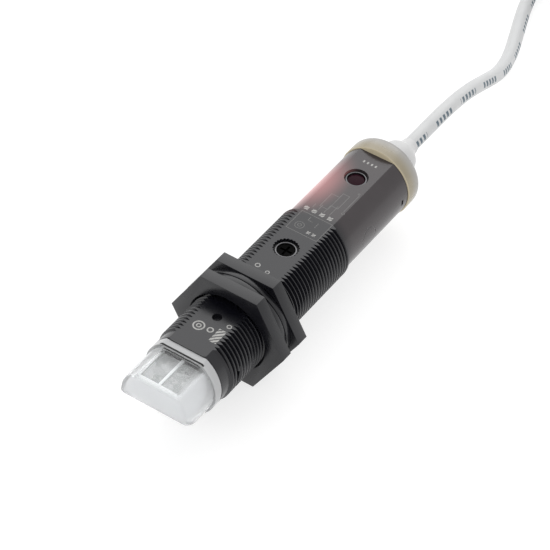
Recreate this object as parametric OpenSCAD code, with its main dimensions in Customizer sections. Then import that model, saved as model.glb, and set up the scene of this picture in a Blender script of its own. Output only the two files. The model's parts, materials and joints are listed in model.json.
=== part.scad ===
// Photoelectric sensor in an M18 threaded tube, with its beam at 90 degrees to the tube.
// Millimetres, +Z up. The origin is on the tube's axis, between the two nuts, where a
// bracket is clamped. +X runs along the tube towards the cable. The part lies on the
// lower flats of its nuts.

/* [Barrel] */
// Outside diameter of the thread
thread_d = 18; // [17.9:0.05:18]
// Distance from one turn of the thread to the next
pitch = 1; // [1:0.25:1.5]
// Diameter of the smooth rear end, which lets the nuts pass
rear_d = 16.9; // [16.6:0.1:17.2]
// Distance from the axis to the flats above and below
flat_z = 7.35; // [7.2:0.05:7.5]
// Thickness of the barrel's wall
wall = 1.25; // [1:0.05:1.4]
// Front end of the barrel
barrel_front = -18.4; // [-19:0.1:-18]
// Rear end of the barrel
barrel_rear = 51.9; // [51:0.1:53]

/* [Head] */
// Front face of the clear cover
head_front = -29.8; // [-30.5:0.1:-29.8]
// Diameter of the clear cover
head_d = 16.3; // [16:0.1:16.6]
// Height of the window above the axis
window_z = 6.9; // [6.8:0.05:7]
// Wall of the clear cover
cover_wall = 0.85; // [0.7:0.05:0.9]

/* [Nuts] */
// Size of the hexagon across its flats
nut_flats = 24; // [24:1:27]
// Thickness of each hexagon
nut_h = 2.85; // [2.5:0.05:4]
// Thickness of each washer
washer_h = 1.4; // [1:0.1:1.5]
// Diameter of each washer
washer_d = 23.6; // [22:0.1:24]

/* [Controls] */
// Place of the trimmer along the tube
trimmer_x = 16.8; // [14:0.1:19]
// Place of the teach button along the tube
button_x = 43.6; // [42:0.1:44]
// Diameter of the dial and of the button
control_d = 3.86; // [3.5:0.02:3.9]

/* [Cable] */
// Diameter of the cable
cable_d = 3.5; // [3.5:0.1:3.5]
// Radius of the innermost turns of the hank, at the middle of the cable
hank_turn = 10.5; // [10.5:0.5:12]
// Length of the hank's straight runs
hank_run = 66; // [53:1:70]

/* [Hidden] */
$fn = 96;
eps = 0.01;
thread_r = thread_d / 2;
root_r = thread_r - 0.61 * pitch;
rear_r = rear_d / 2;
thread_front = -15.4;
thread_rear = 28.2;
band_r = 8.6;           // the smooth band in front of the thread
cavity_r = rear_r - wall;
cavity_z = flat_z - wall;
fit = 0.1;

head_r = head_d / 2;
flange_rear = barrel_front;
flange_front = flange_rear - 2;
flange_z = 7.1;
cut_z = -0.4;          // height where the 45 degree cut meets the front face
spigot_l = 2;
spigot_wall = 0.8;
seal_w = 0.6;
seal_depth = 0.35;

bay_y = 4.7;           // half width of the two bays together
bay_front = -27.6;
bay_floor = -3.5;
carrier_top = 4.6;
optics_y = 2.5;        // each channel's distance from the middle
optics_z = -0.8;       // height of the channels' axes
mirror_top = 1.9;
lens_r = 2.2;
lens_back = -19.3;
mount_rear = -13.5;

board_z = 0.5;         // half thickness of the board
board_front = -9;
board_rear = 48.2;
board_y = 6.8;

control_r = control_d / 2;
well_r = 2.65;
bezel_r = 2.36;
bezel_top = flat_z - 0.45;
control_top = flat_z - 0.75;
trimmer_top = 4.7;
switch_top = 3.9;
press = 0.25;          // travel of the teach button

cap_r = 8.75;
cap_rear = barrel_rear + 5.2;
cap_round = 2;
cap_wall = 1.8;
relief_end = 66.5;
cable_r = cable_d / 2;
cable_start = 52.4;
wire_r = 0.45;

floor_z = -nut_flats / 2;
nut_bore = thread_r + 0.03;
washer_bore = thread_r + 0.1;
clamp_gap = 0.05;

// The cable's route: straight out of the strain relief, down to the surface that the
// sensor lies on, and along it into the outermost turn of the hank.
route = [
    [52.4, 0, 0], [60, 0, 0], [68, 0, 0], [76, 0, 0], [82, 0, -0.2], [88, 0, -0.9],
    [94, 0, -2.3], [100, 0, -4.3], [106, 0.4, -6.6], [112, 1.6, -8.6], [118, 3.3, -9.8],
    [124, 5.4, -10.2], [130, 7.6, -10.25], [136, 9.6, -10.25], [142, 11.1, -10.25],
    [148, 11.9, -10.25], [152, 12, -10.25]
];
lanes = 2;
layers = 5;
hank_inner = hank_turn - cable_r;
hank_outer = hank_inner + lanes * cable_d;
hank_h = layers * cable_d;
hank_x = 159;          // centre of the hank's front bend
hank_y = -2;
tail_x = hank_x + 30;  // where the jacket ends, on the top layer's inner turn
tail_y = hank_y + hank_turn;
tail_z = floor_z + hank_h - cable_r;
core_r = 0.55;
core_l = 28;
core_gap = 0.1;        // keeps a core's slanting end clear of the jacket
tip_l = 6;
tie_x = hank_x + 32;
tie_w = 2.5;
tie_t = 0.5;

// ---- shared shapes ----

// Round bar along +X
module bar(r, x0, x1) {
    translate([x0, 0, 0]) rotate([0, 90, 0]) cylinder(h = x1 - x0, r = r);
}

// Solid of revolution about the X axis, from points [x, r]
module turned(points) {
    rotate([0, 90, 0]) rotate_extrude() polygon([for (p = points) [p[1], p[0]]]);
}

// Bar along X with a flat above and below
module flatted(r, z, x0, x1) {
    intersection() {
        bar(r, x0, x1);
        translate([x0, -r, -z]) cube([x1 - x0, 2 * r, 2 * z]);
    }
}

// Tube along X with a flat above and below
module flatted_tube(r, z, t, x0, x1) {
    difference() {
        flatted(r, z, x0, x1);
        flatted(r - t, z - t, x0 - 1, x1 + 1);
    }
}

// Side view [x, z] pulled out to a width, between y0 and y1
module slab(points, y0, y1) {
    translate([0, y1, 0]) rotate([90, 0, 0]) linear_extrude(y1 - y0) polygon(points);
}

// Box from its lowest to its highest corner
module block(a, b) {
    translate(a) cube([b[0] - a[0], b[1] - a[1], b[2] - a[2]]);
}

// Upright ring
module ring(x, r_out, r_in, z0, z1) {
    translate([x, 0, z0]) difference() {
        cylinder(h = z1 - z0, r = r_out);
        translate([0, 0, -1]) cylinder(h = z1 - z0 + 2, r = r_in);
    }
}

// ---- barrel ----

// Outline of the barrel: a smooth front band, the thread as rings, a smooth rear end
crest = 0.1 * pitch;
flank = 0.42 * pitch;
turns = floor((thread_rear - thread_front) / pitch);
thread_points = [for (i = [0 : turns - 1])
    let (x = thread_front + i * pitch)
    each [[x + crest, thread_r], [x + flank, root_r],
          [x + pitch - flank, root_r], [x + pitch - crest, thread_r]]];
barrel_points = concat(
    [[barrel_front, 0], [barrel_front, band_r - 0.3], [barrel_front + 0.3, band_r],
     [thread_front + band_r - thread_r, band_r]],
    thread_points,
    [[thread_rear - 0.5, thread_r], [thread_rear, rear_r], [barrel_rear, rear_r], [barrel_rear, 0]]);

module barrel() {
    color([0.17, 0.18, 0.2]) difference() {
        intersection() {
            turned(barrel_points);
            block([barrel_front - 1, -10, -flat_z], [barrel_rear + 1, 10, flat_z]);
        }
        flatted(cavity_r, cavity_z, barrel_front - 1, barrel_rear + 1);
        for (x = [trimmer_x, button_x])
            translate([x, 0, cavity_z - 1]) cylinder(h = 4, r = well_r);
        // blind hole in the top flat
        translate([-7.95, 0, flat_z - 0.9]) cylinder(h = 2, r = 1.05);
        // short slot across the front of the thread
        block([-13.1, -10, -4.6], [-12.4, -8, 1.3]);
        // windows for the end cap's catches
        for (side = [-1, 1])
            translate([49.3, side * 8 - 1.5, -0.7]) cube([0.7, 3, 1.4]);
    }
}

// ---- optical head ----

// Side view of the head, drawn in by w on every side; open towards the barrel
function head_side(w) =
    let (front = head_front + w, top = window_z - w, low = -flat_z + w,
         edge = head_front + cut_z + w * sqrt(2), rear = flange_front + eps)
    [[front, edge - front], [front, top], [rear, top], [rear, low], [edge - low, low]];

module head_body(w) {
    intersection() {
        bar(head_r - w, head_front - 1, flange_front + 1);
        slab(head_side(w), -10, 10);
    }
}

module head_cover() {
    color([0.86, 0.88, 0.9, 0.5]) difference() {
        union() {
            head_body(0);
            flatted(band_r, flange_z, flange_front, flange_rear);
            flatted(cavity_r - fit, cavity_z - fit, flange_rear - eps, flange_rear + spigot_l);
        }
        head_body(cover_wall);
        flatted(cavity_r - spigot_wall, cavity_z - spigot_wall, flange_front - eps,
                flange_rear + spigot_l + 1);
        head_seal_groove();
    }
}

// A seal ring round a spigot, filling the gap to the barrel's bore
module spigot_seal(x) {
    flatted_tube(cavity_r, cavity_z, fit + seal_depth, x, x + seal_w);
}

module head_seal_groove() {
    spigot_seal(flange_rear + 0.7);
}

module head_seal() {
    color([0.08, 0.08, 0.09]) spigot_seal(flange_rear + 0.7);
}

bay_side = [[bay_front, carrier_top + 1], [bay_front, mirror_top],
    [bay_front + mirror_top - bay_floor, bay_floor], [-19, bay_floor], [-19, carrier_top + 1]];

module optics_carrier() {
    color([0.8, 0.82, 0.84]) difference() {
        intersection() {
            block([-28.5, -5.5, -4.3], [-19.4, 5.5, carrier_top]);
            union() {
                head_body(cover_wall + 0.05);
                flatted(cavity_r - spigot_wall - 0.05, cavity_z - spigot_wall - 0.05,
                        flange_front, flange_rear);
            }
        }
        slab(bay_side, -bay_y, bay_y);
    }
}

module channel_divider() {
    color([0.7, 0.71, 0.73]) intersection() {
        slab(bay_side, -0.3, 0.3);
        block([-28, -1, -4], [-19.5, 1, carrier_top]);
    }
}

// Right-angled prism with its sloping face towards the lower front, under a plate that fills the bay's mouth
module prism(side) {
    leg = 5.3;
    plate = 1.6;
    top = carrier_top - 0.25;
    x = bay_front + 0.15;
    translate([0, side * optics_y, 0])
        slab([[x, mirror_top], [x, top], [-19.9, top], [-19.9, top - plate], [x + leg, top - plate],
              [x + leg, mirror_top - leg]], -2.1, 2.1);
}

module emitter_prism() { color([0.9, 0.93, 0.95, 0.5]) prism(1); }
module receiver_prism() { color([0.9, 0.93, 0.95, 0.5]) prism(-1); }

module lens(side) {
    ball = 3.2;
    translate([0, side * optics_y, optics_z]) intersection() {
        bar(lens_r, lens_back - 3, lens_back);
        translate([lens_back + 0.9, 0, 0]) sphere(r = ball);
    }
}

module emitter_lens() { color([0.88, 0.92, 0.96, 0.5]) lens(1); }
module receiver_lens() { color([0.88, 0.92, 0.96, 0.5]) lens(-1); }

module lens_mount() {
    color([0.07, 0.07, 0.08]) difference() {
        flatted(cavity_r - spigot_wall - fit, cavity_z - spigot_wall - fit, lens_back, mount_rear);
        for (side = [-1, 1])
            translate([0, side * optics_y, optics_z]) bar(1.9, lens_back - 1, mount_rear + 1);
    }
}

// Two leads that lie under the board's front edge
module leads(side) {
    for (dy = [-0.64, 0.64])
        translate([0, side * optics_y + dy, optics_z]) bar(0.25, -11.6, board_front + 1.6);
}

module emitter_led() {
    color([0.85, 0.4, 0.4]) {
        translate([0, optics_y, optics_z]) {
            bar(1.5, -16, -11.5);
            translate([-16, 0, 0]) sphere(r = 1.5);
            bar(1.75, -12.4, -11.5);
        }
        leads(1);
    }
}

module receiver_photodiode() {
    color([0.12, 0.1, 0.14]) {
        translate([0, -optics_y, optics_z]) {
            block([-13.3, -1.7, -1.7], [-11.5, 1.7, 1.7]);
            bar(1.2, -13.9, -13);
        }
        leads(-1);
    }
}

// ---- electronics ----

module main_board() {
    color([0.1, 0.35, 0.2]) block([board_front, -board_y, -board_z], [board_rear, board_y, board_z]);
}

module sensor_chip() {
    color([0.1, 0.1, 0.1]) translate([5.5, 0, board_z]) {
        block([-2.5, -1.95, 0.1], [2.5, 1.95, 1.5]);
        for (i = [0 : 3], side = [-1, 1])
            translate([-1.9 + 1.27 * i - 0.2, side * 2.4 - 0.5, 0]) cube([0.4, 1, 0.35]);
    }
}

module output_transistors() {
    color([0.12, 0.12, 0.12]) for (x = [28.5, 32.5]) translate([x, -3.6, board_z]) {
        block([-1.45, -0.65, 0.1], [1.45, 0.65, 1.1]);
        block([-0.2, 0.5, 0], [0.2, 1.2, 0.25]);
        for (dx = [-0.95, 0.95]) block([dx - 0.2, -1.2, 0], [dx + 0.2, -0.5, 0.25]);
    }
}

module small_board_parts() {
    color([0.5, 0.4, 0.3]) {
        for (x = [3, 7, 11], y = [-5.4, 5.4]) translate([x, y, board_z]) block([-1, -0.6, 0], [1, 0.6, 0.6]);
        for (x = [22.5, 26.5, 30.5], y = [-5.9, 4.4]) translate([x, y, board_z]) block([-1, -0.6, 0], [1, 0.6, 0.6]);
    }
}

module shield_can() {
    color([0.75, 0.76, 0.78]) difference() {
        block([-7.2, -4.8, board_z], [1.2, 4.8, 3.2]);
        block([-6.95, -4.55, board_z - 1], [0.95, 4.55, 2.95]);
    }
}

module capacitor() {
    color([0.6, 0.62, 0.65]) translate([24.8, 0, board_z]) {
        block([-2.15, -2.15, 0], [2.15, 2.15, 0.6]);
        cylinder(h = 4.6, r = 2);
    }
}

module status_led() {
    color([0.95, 0.15, 0.12]) translate([36, 4.9, board_z]) {
        block([-1.5, -1.1, 0], [1.5, 1.1, 0.7]);
        translate([0, 0, 0.7]) intersection() {
            sphere(r = 1);
            block([-2, -2, -0.2], [2, 2, 2]);
        }
    }
}

module trimmer_body() {
    color([0.15, 0.3, 0.6]) translate([trimmer_x, 0, 0]) difference() {
        block([-3.3, -3.3, board_z], [3.3, 3.3, trimmer_top]);
        translate([0, 0, 3]) cylinder(h = 3, r = 1.04);
    }
}

module trimmer_dial() {
    color([0.04, 0.04, 0.05]) translate([trimmer_x, 0, 0]) difference() {
        union() {
            translate([0, 0, trimmer_top + 0.25]) cylinder(h = control_top - trimmer_top - 0.25, r = control_r);
            translate([0, 0, 3.2]) cylinder(h = 2, r = 1);
        }
        for (a = [0, 90]) rotate([0, 0, a]) block([-1.4, -0.25, control_top - 0.5], [1.4, 0.25, control_top + 1]);
    }
}

module bezel(x, z0) { ring(x, bezel_r, control_r + 0.05, z0, bezel_top); }
module well_seal(x) { ring(x, well_r, bezel_r, cavity_z, cavity_z + 0.5); }

module trimmer_bezel() { color([0.8, 0.8, 0.82]) bezel(trimmer_x, trimmer_top); }
module trimmer_seal() { color([0.08, 0.08, 0.09]) well_seal(trimmer_x); }

module button_switch() {
    color([0.13, 0.13, 0.14]) translate([button_x, 0, 0])
        block([-3, -3, board_z], [3, 3, switch_top]);
}

module teach_button() {
    color([0.25, 0.03, 0.08]) translate([button_x, 0, 0]) {
        translate([0, 0, 4.6]) cylinder(h = control_top - 4.6, r = control_r);
        translate([0, 0, switch_top + press + 0.05]) cylinder(h = 1, r = 0.9);
    }
}

module button_bezel() { color([0.8, 0.8, 0.82]) bezel(button_x, switch_top); }
module button_seal() { color([0.08, 0.08, 0.09]) well_seal(button_x); }

// ---- rear end ----

cap_arc = [for (i = [0 : 8]) let (a = 90 - i * 90 / 8)
    [cap_rear - cap_round + cap_round * cos(a), cap_r - cap_round + cap_round * sin(a)]];
cap_points = concat([[barrel_rear, 0], [barrel_rear, cap_r]], cap_arc, [[cap_rear, 0]]);

module end_cap() {
    color([0.72, 0.71, 0.66, 0.8]) difference() {
        union() {
            turned(cap_points);
            flatted(cavity_r - fit, cavity_z - fit, barrel_rear - 2.9, barrel_rear + eps);
            for (side = [-1, 1])
                translate([49.45, side * 7.4 - 0.7, -0.6]) cube([0.4, 1.4, 1.2]);
        }
        bar(cavity_r - 0.3, barrel_rear + 0.8, cap_rear - cap_wall);
        flatted(cavity_r - fit - spigot_wall, cavity_z - fit - spigot_wall, barrel_rear - 4, barrel_rear + 1);
        bar(3, cap_rear - cap_wall - 1, cap_rear + 1);
        spigot_seal(barrel_rear - 1.2);
    }
}

module end_cap_seal() { color([0.08, 0.08, 0.09]) spigot_seal(barrel_rear - 1.2); }

relief_front = cap_rear - cap_wall - 0.7;
relief_points = [[relief_front, cable_r + 0.02], [relief_front, 4.2], [relief_front + 0.7, 4.2],
    [relief_front + 0.7, 3], [cap_rear, 3], [cap_rear, 4.3], [60, 4.25], [61.8, 4.1], [62.8, 3.7],
    [63.6, 3.0], [64.3, 2.5], [65, 2.2], [65.7, 2.04], [relief_end, 1.95], [relief_end, cable_r + 0.02]];

module strain_relief() { color([0.93, 0.93, 0.93]) turned(relief_points); }

module cable_clamp() {
    color([0.7, 0.7, 0.72]) difference() {
        bar(2.5, 52.8, 54.1);
        bar(cable_r + 0.02, 52, 55);
    }
}

module wire(y, z) { translate([0, y, z]) bar(wire_r, 46.8, cable_start); }

module wire_brown() { color([0.4, 0.22, 0.1]) wire(0.75, 0.95); }
module wire_white() { color([0.92, 0.92, 0.92]) wire(-0.75, 0.95); }
module wire_blue() { color([0.1, 0.25, 0.7]) wire(0.75, -0.95); }
module wire_black() { color([0.05, 0.05, 0.05]) wire(-0.75, -0.95); }

// ---- nuts and washers ----

module nut(x) {
    difference() {
        translate([x, 0, 0]) rotate([0, 90, 0]) rotate([0, 0, 90])
            cylinder(h = nut_h, r = nut_flats / 2 / cos(30), $fn = 6);
        bar(nut_bore, x - 1, x + nut_h + 1);
    }
}

module washer(x) {
    difference() {
        bar(washer_d / 2, x, x + washer_h);
        bar(washer_bore, x - 1, x + washer_h + 1);
    }
}

module front_washer() { color([0.19, 0.2, 0.22]) washer(-clamp_gap - washer_h); }
module rear_washer() { color([0.19, 0.2, 0.22]) washer(clamp_gap); }
module front_nut() { color([0.17, 0.18, 0.2]) nut(-clamp_gap - washer_h - nut_h); }
module rear_nut() { color([0.17, 0.18, 0.2]) nut(clamp_gap + washer_h); }

// ---- cable ----

// A tube round a route that is nowhere upright
module tube_along(path, r, sides) {
    n = len(path);
    heading = [for (i = [0 : n - 1])
        let (d = path[min(i + 1, n - 1)] - path[max(i - 1, 0)]) d / norm(d)];
    rings = [for (i = [0 : n - 1], k = [0 : sides - 1])
        let (a = k * 360 / sides, side = [-heading[i][1], heading[i][0], 0], level = side / norm(side))
        path[i] + r * (cos(a) * cross(heading[i], level) + sin(a) * level)];
    walls = [for (i = [0 : n - 2], k = [0 : sides - 1])
        let (j = (k + 1) % sides)
        [i * sides + k, (i + 1) * sides + k, (i + 1) * sides + j, i * sides + j]];
    start_face = [for (k = [0 : sides - 1]) k];
    end_face = [for (k = [sides - 1 : -1 : 0]) (n - 1) * sides + k];
    polyhedron(rings, concat(walls, [start_face, end_face]));
}

module cable_run() { color([0.85, 0.86, 0.86]) tube_along(route, cable_r, 8); }

// Long outline with round ends, about the middle line of the hank
module round_ended(r, h) {
    for (x = [0, hank_run]) translate([x, 0, 0]) cylinder(h = h, r = r);
    translate([0, -r, 0]) cube([hank_run, 2 * r, h]);
}

module cable_hank() {
    color([0.85, 0.86, 0.86]) difference() {
        translate([hank_x, hank_y, floor_z]) difference() {
            round_ended(hank_outer, hank_h);
            translate([0, 0, -1]) round_ended(hank_inner, hank_h + 2);
        }
        // the top layer's inner turn stops where the jacket is stripped
        block([tail_x, hank_y, tail_z - cable_r], [hank_x + hank_run, tail_y + cable_r, tail_z + cable_d]);
        // room for the tie below
        block([tie_x, hank_y - hank_outer - 1, floor_z - 1], [tie_x + tie_w, hank_y, floor_z + tie_t]);
    }
}

module cable_tie() {
    y0 = hank_y - hank_outer;
    y1 = hank_y - hank_inner;
    top = floor_z + hank_h + tie_t;
    color([0.1, 0.1, 0.1]) {
        difference() {
            block([tie_x, y0 - tie_t, floor_z], [tie_x + tie_w, y1 + tie_t, top + tie_t]);
            block([tie_x - 1, y0, floor_z + tie_t], [tie_x + tie_w + 1, y1, top]);
        }
        block([tie_x - 0.6, y1 + tie_t - eps, top - 3], [tie_x + tie_w + 0.6, y1 + 3, top + tie_t]);
    }
}

// Stripped core: places are counted from the middle of the jacket's end
module core_place(y, z, yaw, dip) {
    translate([tail_x + core_gap, tail_y + y, tail_z + z]) rotate([0, dip, yaw]) children();
}

module core(y, z, yaw, dip) { core_place(y, z, yaw, dip) bar(core_r, 0, core_l); }
module core_tip(y, z, yaw, dip) { core_place(y, z, yaw, dip) bar(core_r * 0.65, core_l, core_l + tip_l); }

// Each core's [y, z, sideways angle, downward angle]
brown_at = [-0.6, -0.6, -6.5, 0.8];
blue_at = [-0.6, 0.6, -3.5, 1.2];
black_at = [0.6, -0.6, -2.5, 0.8];
white_at = [0.6, 0.6, 0, 1.2];

module core_brown() { color([0.4, 0.22, 0.1]) core(brown_at[0], brown_at[1], brown_at[2], brown_at[3]); }
module core_white() { color([0.92, 0.92, 0.92]) core(white_at[0], white_at[1], white_at[2], white_at[3]); }
module core_blue() { color([0.1, 0.25, 0.7]) core(blue_at[0], blue_at[1], blue_at[2], blue_at[3]); }
module core_black() { color([0.05, 0.05, 0.05]) core(black_at[0], black_at[1], black_at[2], black_at[3]); }
module core_tips() {
    color([0.8, 0.8, 0.8]) for (c = [brown_at, white_at, blue_at, black_at])
        core_tip(c[0], c[1], c[2], c[3]);
}

barrel();
head_cover();
head_seal();
optics_carrier();
channel_divider();
emitter_prism();
receiver_prism();
emitter_lens();
receiver_lens();
lens_mount();
emitter_led();
receiver_photodiode();
main_board();
sensor_chip();
output_transistors();
small_board_parts();
shield_can();
capacitor();
status_led();
trimmer_body();
trimmer_dial();
trimmer_bezel();
trimmer_seal();
button_switch();
teach_button();
button_bezel();
button_seal();
end_cap();
end_cap_seal();
strain_relief();
cable_clamp();
wire_brown();
wire_white();
wire_blue();
wire_black();
front_nut();
rear_nut();
front_washer();
rear_washer();
cable_run();
cable_hank();
cable_tie();
core_brown();
core_white();
core_blue();
core_black();
core_tips();
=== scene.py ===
"""Photoelectric sensor in an M18 threaded tube, with its nuts, controls and cable.

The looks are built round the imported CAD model. Lengths are written in millimetres in
its frame, with the tube along X, and turned into metres when a mesh is made.
"""

import json
import math

import bmesh
import bpy
from mathutils import Matrix, Quaternion, Vector


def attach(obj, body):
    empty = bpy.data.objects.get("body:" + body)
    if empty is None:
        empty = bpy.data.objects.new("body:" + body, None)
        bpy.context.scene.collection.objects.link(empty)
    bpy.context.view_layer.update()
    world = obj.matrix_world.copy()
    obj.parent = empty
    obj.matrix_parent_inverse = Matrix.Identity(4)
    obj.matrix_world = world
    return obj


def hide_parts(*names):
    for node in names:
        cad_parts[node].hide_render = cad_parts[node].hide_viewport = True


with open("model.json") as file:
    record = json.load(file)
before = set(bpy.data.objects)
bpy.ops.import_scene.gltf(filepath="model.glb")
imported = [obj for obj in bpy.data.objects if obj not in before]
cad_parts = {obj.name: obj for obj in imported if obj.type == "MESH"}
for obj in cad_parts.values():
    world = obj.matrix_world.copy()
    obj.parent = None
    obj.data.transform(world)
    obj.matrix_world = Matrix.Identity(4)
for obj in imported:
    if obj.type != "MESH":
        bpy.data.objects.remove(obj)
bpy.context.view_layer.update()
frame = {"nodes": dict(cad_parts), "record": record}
nodes = frame["nodes"]

MM = 0.001
FLOOR_Z = -12.0

# ---- sizes shared with part.scad ----

PITCH = 1.0
THREAD_R = 9.0
ROOT_R = 8.39
THREAD_FRONT = -15.4
THREAD_REAR = 28.2
BAND_R = 8.6
BARREL_FRONT = -18.4
BARREL_REAR = 51.9
REAR_R = 8.45
FLAT_Z = 7.35
CAVITY_R = 7.2
CAVITY_Z = 6.1
WELL_R = 2.65
TRIMMER_X = 16.8
BUTTON_X = 43.6
CONTROL_R = 1.93
CONTROL_TOP = 6.6
BEZEL_R = 2.36
BEZEL_TOP = 6.9
HEAD_FRONT = -29.8
HEAD_R = 8.15
WINDOW_Z = 6.9
HEAD_CUT_Z = -0.4
COVER_WALL = 0.85
FLANGE_FRONT = -20.4
FLANGE_Z = 7.1
SPIGOT_L = 2.0
NUT_FLATS = 24.0
NUT_H = 2.85
NUT_BORE = 9.03
WASHER_H = 1.4
WASHER_R = 11.8
WASHER_BORE = 9.1
CLAMP_GAP = 0.05
CAP_R = 8.75
CAP_REAR = 57.1
CAP_ROUND = 2.0
CAP_WALL = 1.8
RELIEF_END = 66.5
CABLE_R = 1.75
HANK_X = 159.0
HANK_Y = -2.0
HANK_RUN = 66.0
LANES = (14.0, 10.5)
LAYER_COUNT = 5
TAIL_X = 189.0
TIE_X = 191.0
TIE_W = 2.5
TIE_T = 0.5


# ---- camera ----

def add_camera():
    """The photograph's viewpoint, from the left front and well above."""
    data = bpy.data.cameras.new("camera")
    data.sensor_width = 36
    data.lens = 161.8
    data.clip_start = 0.01
    data.clip_end = 20
    camera = bpy.data.objects.new("camera", data)
    bpy.context.scene.collection.objects.link(camera)
    place = Vector((-0.2946, -0.1923, 0.3633))
    aim = Vector((0.01516, 0.00132, 0))
    level = (aim - place).to_track_quat("-Z", "Y")
    roll = Quaternion((0, 0, 1), math.radians(3.06))
    camera.rotation_mode = "QUATERNION"
    camera.rotation_quaternion = level @ roll
    camera.location = place
    bpy.context.scene.camera = camera


add_camera()


# ---- mesh helpers ----

def shade(obj, sharp=30):
    """Smooth shading, with edges sharper than an angle kept."""
    mesh = obj.data
    mesh.polygons.foreach_set("use_smooth", [True] * len(mesh.polygons))
    mesh.set_sharp_from_angle(angle=math.radians(sharp))


def new_object(name, bm, sharp=30):
    """Turns a bmesh in millimetres into a shaded object in metres."""
    bmesh.ops.scale(bm, vec=(MM, MM, MM), verts=bm.verts)
    mesh = bpy.data.meshes.new(name)
    bm.to_mesh(mesh)
    bm.free()
    obj = bpy.data.objects.new(name, mesh)
    shade(obj, sharp)
    bpy.context.scene.collection.objects.link(obj)
    return obj


def grid_faces(bm, columns, wrap):
    """Joins neighbouring columns of vertices with four-sided faces."""
    count = len(columns)
    for i in range(count if wrap else count - 1):
        a, b = columns[i], columns[(i + 1) % count]
        for k in range(len(a) - 1):
            bm.faces.new((a[k], a[k + 1], b[k + 1], b[k]))


def lathe(profile, steps=96, closed=True):
    """Solid turned about the X axis from points (x, r); closed joins last to first."""
    bm = bmesh.new()
    columns = []
    for j in range(steps):
        angle = 2 * math.pi * j / steps
        column = [bm.verts.new((x, r * math.sin(angle), r * math.cos(angle))) for x, r in profile]
        if closed:
            column.append(column[0])
        columns.append(column)
    grid_faces(bm, columns, wrap=True)
    bmesh.ops.remove_doubles(bm, verts=bm.verts, dist=1e-5)
    bmesh.ops.recalc_face_normals(bm, faces=bm.faces)
    return bm


def prism(outline, low, high, axis="X"):
    """Outline of points pulled out along an axis, from low to high."""
    along = "XYZ".index(axis)

    def place(point, height):
        corner = list(point)
        corner.insert(along, height)
        return corner

    bm = bmesh.new()
    first = [bm.verts.new(place(p, low)) for p in outline]
    last = [bm.verts.new(place(p, high)) for p in outline]
    bm.faces.new(first)
    bm.faces.new(last)
    for i in range(len(outline)):
        j = (i + 1) % len(outline)
        bm.faces.new((first[i], first[j], last[j], last[i]))
    bmesh.ops.recalc_face_normals(bm, faces=bm.faces)
    return bm


def block(low, high):
    """Box from its lowest to its highest corner."""
    outline = [(low[0], low[1]), (high[0], low[1]), (high[0], high[1]), (low[0], high[1])]
    return prism(outline, low[2], high[2], "Z")


def circle(radius, count=64, centre=(0, 0)):
    """Points of a circle."""
    turn = 2 * math.pi / count
    return [
        (centre[0] + radius * math.cos(i * turn), centre[1] + radius * math.sin(i * turn))
        for i in range(count)
    ]


def joined(parts):
    """Several bmeshes as one."""
    whole = bmesh.new()
    for part in parts:
        mesh = bpy.data.meshes.new("part")
        part.to_mesh(mesh)
        part.free()
        whole.from_mesh(mesh)
        bpy.data.meshes.remove(mesh)
    return whole


def applied(obj, modifier):
    """Applies one modifier and removes it from the object."""
    bpy.context.view_layer.update()
    graph = bpy.context.evaluated_depsgraph_get()
    mesh = bpy.data.meshes.new_from_object(obj.evaluated_get(graph))
    obj.modifiers.remove(modifier)
    old = obj.data
    obj.data = mesh
    bpy.data.meshes.remove(old)


def combine(obj, bm, operation):
    """Cuts, adds or intersects another solid, given in millimetres."""
    tool = new_object("tool", bm)
    modifier = obj.modifiers.new("combine", "BOOLEAN")
    modifier.operation = operation
    modifier.solver = "MANIFOLD"
    modifier.object = tool
    applied(obj, modifier)
    bpy.data.objects.remove(tool)


def rounded(obj, width, segments=3, angle=28):
    """Rounds every edge sharper than an angle, by a width in millimetres."""
    modifier = obj.modifiers.new("round", "BEVEL")
    modifier.width = width * MM
    modifier.segments = segments
    modifier.limit_method = "ANGLE"
    modifier.angle_limit = math.radians(angle)
    modifier.use_clamp_overlap = True
    applied(obj, modifier)


def softened(obj, grain, repeats):
    """Rounds every edge of a solid by remeshing it finely and smoothing it; grain in millimetres."""
    remesh = obj.modifiers.new("remesh", "REMESH")
    remesh.mode = "VOXEL"
    remesh.voxel_size = grain * MM
    applied(obj, remesh)
    smooth = obj.modifiers.new("smooth", "SMOOTH")
    smooth.factor = 0.5
    smooth.iterations = repeats
    applied(obj, smooth)


def as_bmesh(obj):
    """An object's mesh in millimetres, and the object removed."""
    bm = bmesh.new()
    bm.from_mesh(obj.data)
    bmesh.ops.scale(bm, vec=(1 / MM, 1 / MM, 1 / MM), verts=bm.verts)
    bpy.data.objects.remove(obj)
    return bm


def add_piece(obj, body, slot, material, *replaced):
    """Rides a piece on a body, gives it its material, and hides what it stands for; the slot is not used."""
    obj.data.materials.clear()
    obj.data.materials.append(material)
    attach(obj, body)
    if replaced:
        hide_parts(*replaced)
    return obj


# ---- materials ----

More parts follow.
